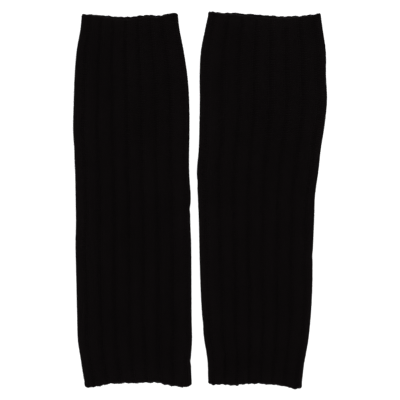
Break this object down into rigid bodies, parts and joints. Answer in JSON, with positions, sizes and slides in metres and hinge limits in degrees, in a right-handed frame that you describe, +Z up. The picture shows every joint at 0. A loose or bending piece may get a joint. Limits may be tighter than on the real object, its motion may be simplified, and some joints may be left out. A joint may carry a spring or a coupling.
{
  "type": "pair of leg warmers",
  "caption": "Pair of long black rib-knit leg warmers, open at top and hem and drawn in a little at both ends, laid flat side by side on a surface.",
  "frame": {"origin": "middle of the pair's outline, on the surface that it lies on", "axes": "+Z up from the surface, +Y from the hems to the top openings, +X to the right of someone who looks down on the pair with the tops away from them"},
  "size_m": [0.3039, 0.4524, 0.0079],
  "materials": {
    "black_rib_knit": "matt black wool-blend yarn in vertical ribs, with a faint soft sheen"
  },
  "bodies": {
    "root": {"left_leg_warmer": "black_rib_knit", "right_leg_warmer": "black_rib_knit"}
  },
  "joints": []
}
